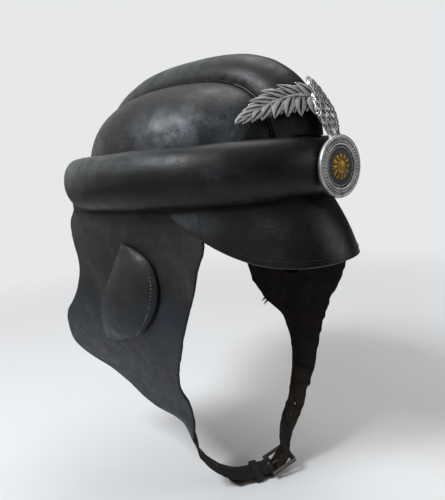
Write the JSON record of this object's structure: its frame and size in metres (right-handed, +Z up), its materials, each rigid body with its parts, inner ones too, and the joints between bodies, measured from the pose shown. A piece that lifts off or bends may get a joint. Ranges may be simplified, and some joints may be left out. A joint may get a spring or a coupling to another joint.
{
  "type": "padded leather crash helmet",
  "caption": "Padded leather helmet with a rolled brim ring, fore-and-aft crest, visor, ear flaps, buckled chin straps and a plain ornamental badge.",
  "frame": {"origin": "centre of the head opening, at the middle height of the padded ring", "axes": "+Z up over the crown, -Y to the front where the visor and badge are, +X to the wearer's left"},
  "size_m": [0.2412, 0.3154, 0.4238],
  "materials": {
    "outer_leather": "worn satin black leather",
    "flap_leather": "worn satin grey-black leather",
    "strap_leather": "rough, cracked dark leather",
    "lining_cloth": "plain brown cotton",
    "band_leather": "smooth brown leather",
    "felt": "grey felt",
    "stuffing": "packed hair stuffing",
    "fibre_board": "pressed fibre board",
    "badge_silver": "cast white metal, darkened in its recesses",
    "badge_enamel": "worn black enamel",
    "badge_gilt": "worn gilt",
    "buckle_steel": "dark tarnished steel"
  },
  "bodies": {
    "root": {"skull_cap": "fibre_board", "crown_panel_right": "outer_leather", "crown_panel_left": "outer_leather", "crown_lining": "lining_cloth", "felt_band": "felt", "sweatband": "band_leather", "ring_cover": "outer_leather", "ring_filling": "stuffing", "crest_cover": "outer_leather", "crest_filling": "stuffing", "visor_outer": "outer_leather", "visor_board": "fibre_board", "visor_lining": "strap_leather", "badge_plate": "badge_silver", "badge_medallion": "badge_silver", "badge_field": "badge_enamel", "badge_boss": "badge_gilt", "badge_posts": "badge_silver", "badge_nuts": "badge_silver"},
    "right_flap": {"right_flap": "flap_leather", "right_ear_cover": "flap_leather"},
    "left_flap": {"left_flap": "flap_leather", "left_ear_cover": "flap_leather"},
    "right_strap": {"right_strap": "strap_leather"},
    "keeper": {"strap_keeper": "strap_leather"},
    "buckle": {"buckle_frame": "buckle_steel"},
    "prong": {"buckle_prong": "buckle_steel"},
    "roller": {"buckle_roller": "buckle_steel"},
    "left_strap": {"left_strap": "strap_leather"}
  },
  "joints": [
    {"name": "right_flap_swing", "type": "hinge", "parent": "root", "child": "right_flap", "pos_m": [-0.097, 0.015, -0.0252], "axis": [0, 1, 0], "range_deg": [-4, 75]},
    {"name": "left_flap_swing", "type": "hinge", "parent": "root", "child": "left_flap", "pos_m": [0.0955, 0, -0.0252], "axis": [0, -1, 0], "range_deg": [-4, 75]},
    {"name": "right_strap_swing", "type": "hinge", "parent": "right_flap", "child": "right_strap", "pos_m": [-0.05908, -0.014, -0.2591], "axis": [0.5688, 0.8225, 0], "range_deg": [-20, 45]},
    {"name": "left_strap_swing", "type": "hinge", "parent": "left_flap", "child": "left_strap", "pos_m": [0.03527, -0.08475, -0.2228], "axis": [0, -1, 0], "range_deg": [-20, 40], "deforming": ["left_strap"]},
    {"name": "keeper_slide", "type": "slide", "parent": "right_strap", "child": "keeper", "axis": [0.8382, -0.5443, 0.0349], "range_m": [-0.004, 0.004]},
    {"name": "buckle_tilt", "type": "hinge", "parent": "right_strap", "child": "buckle", "pos_m": [0.005, -0.059, -0.311], "axis": [0.5446, 0.8387, 0], "range_deg": [-45, 45]},
    {"name": "prong_tilt", "type": "hinge", "parent": "buckle", "child": "prong", "pos_m": [0.005, -0.059, -0.311], "axis": [0.5446, 0.8387, 0], "range_deg": [0, 75]},
    {"name": "roller_spin", "type": "hinge", "parent": "buckle", "child": "roller", "pos_m": [0.02366, -0.07112, -0.30201], "axis": [0.5446, 0.8387, 0], "continuous": true}
  ]
}
